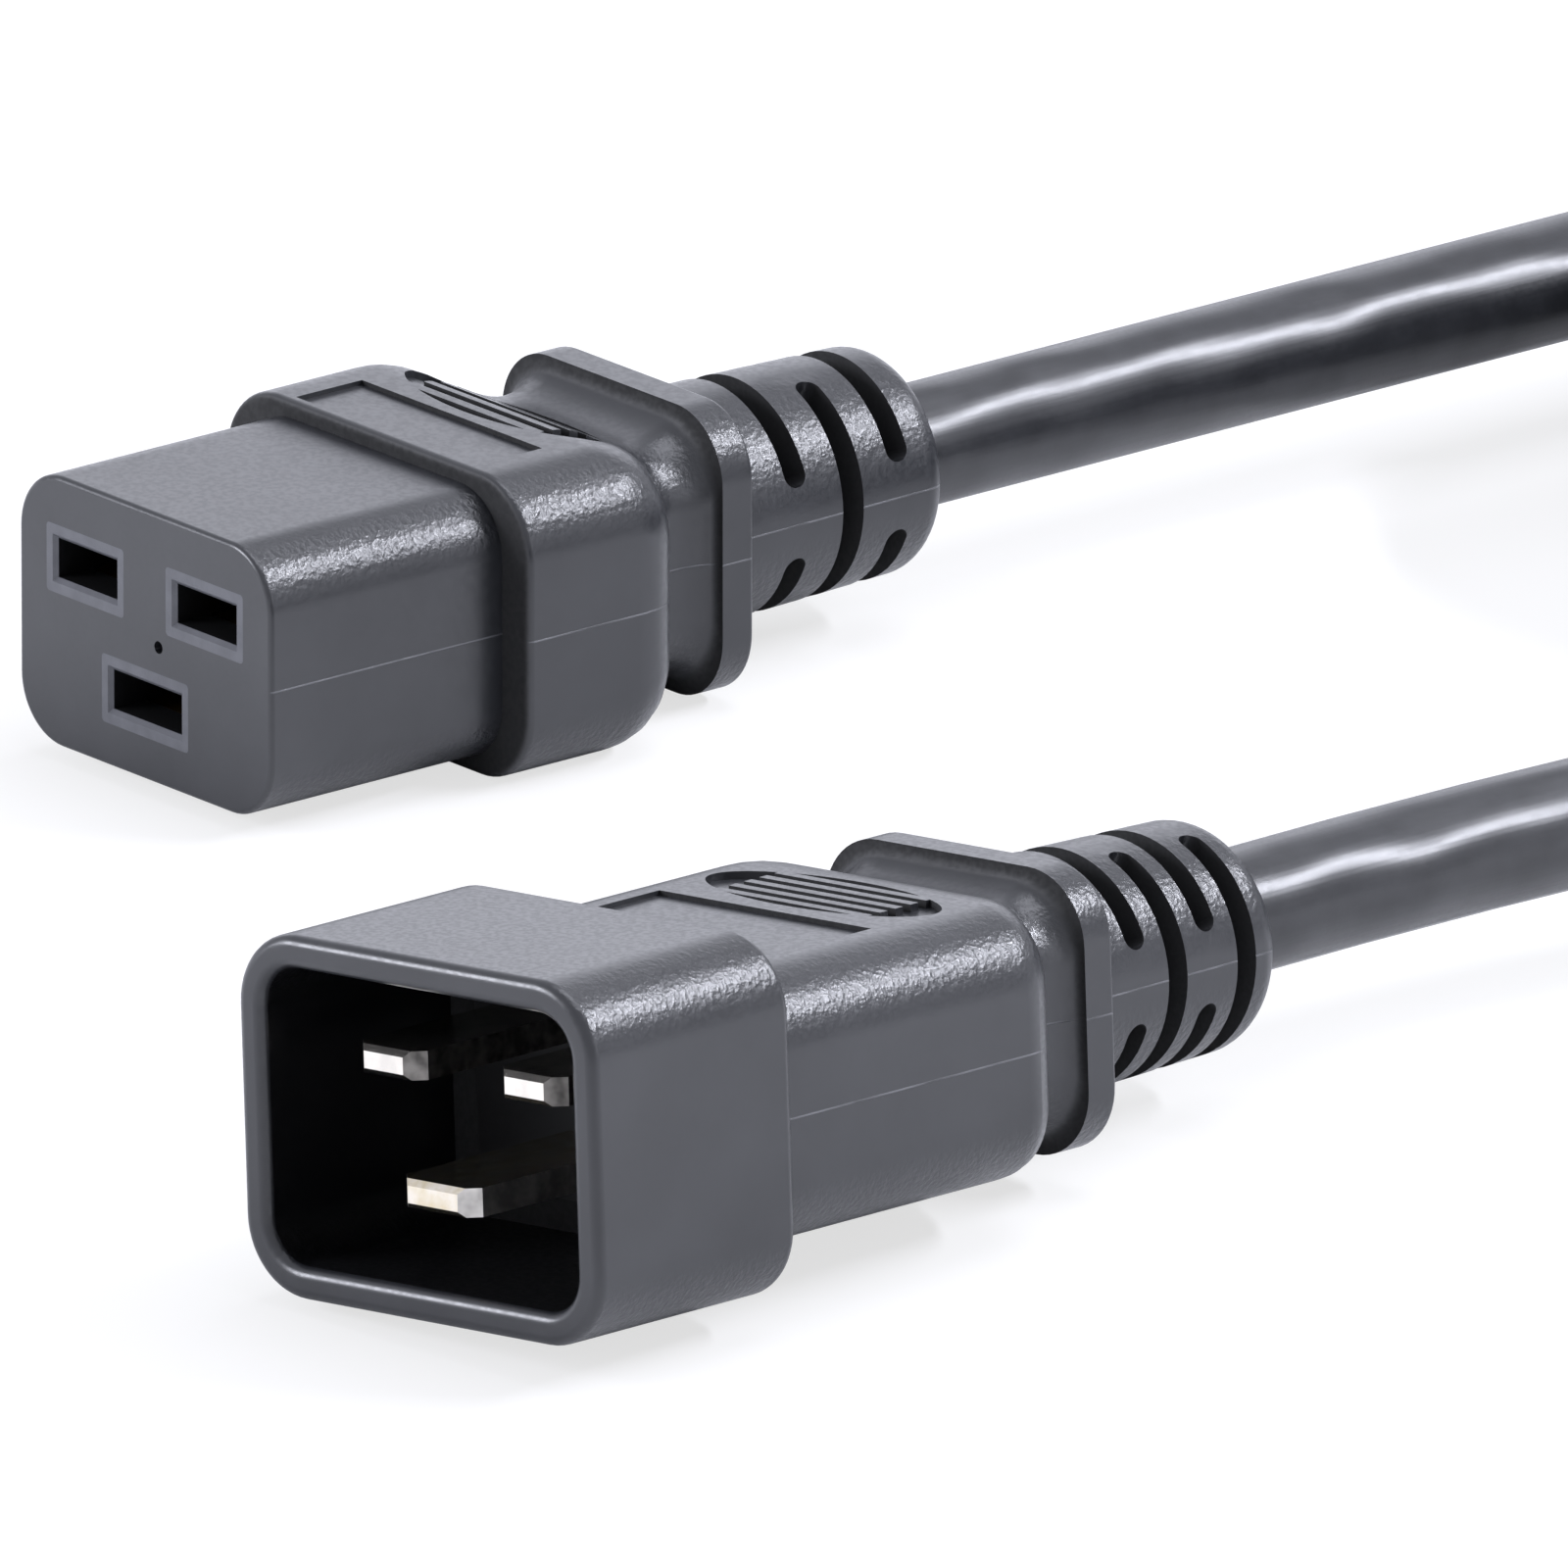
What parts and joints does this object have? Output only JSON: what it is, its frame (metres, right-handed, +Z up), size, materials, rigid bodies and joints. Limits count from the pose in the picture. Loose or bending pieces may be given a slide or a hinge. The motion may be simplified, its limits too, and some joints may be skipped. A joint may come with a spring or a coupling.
{
  "type": "power extension cord",
  "caption": "Power extension cord: a moulded socket connector and a shrouded blade plug connector on a round cable, with the spare cable coiled.",
  "frame": {"origin": "middle of the two connectors' box at the surface they lie on", "axes": "+Z up, the socket connector's mating face looks along -Y, the plug connector lies beside it on +X, and the cable runs off along +Y"},
  "size_m": [0.1397, 0.2921, 0.028],
  "materials": {
    "overmould": "satin moulded, fine grain",
    "inner_mould": "plain",
    "carrier": "smooth",
    "contact": "bright formed strip",
    "blade": "nickel plated",
    "conductor": "bare copper strands",
    "core_line": "smooth insulation",
    "core_neutral": "smooth insulation",
    "core_earth": "smooth insulation",
    "cord_jacket": "semi-gloss jacket"
  },
  "bodies": {
    "root": {"socket_overmould": "overmould", "socket_inner_mould": "inner_mould", "socket_core_line": "core_line", "socket_conductor_line": "conductor", "socket_core_neutral": "core_neutral", "socket_conductor_neutral": "conductor", "socket_core_earth": "core_earth", "socket_conductor_earth": "conductor", "plug_overmould": "overmould", "plug_inner_mould": "inner_mould", "plug_core_line": "core_line", "plug_conductor_line": "conductor", "plug_core_neutral": "core_neutral", "plug_conductor_neutral": "conductor", "plug_core_earth": "core_earth", "plug_conductor_earth": "conductor", "socket_carrier": "carrier", "socket_carrier_cap": "carrier", "plug_blade_carrier": "carrier", "socket_contact_line": "contact", "plug_blade_line": "blade", "socket_contact_neutral": "contact", "plug_blade_neutral": "blade", "socket_contact_earth": "contact", "plug_blade_earth": "blade", "cord_socket_leg": "cord_jacket", "cord_coil": "cord_jacket", "cord_plug_leg": "cord_jacket"}
  },
  "joints": []
}
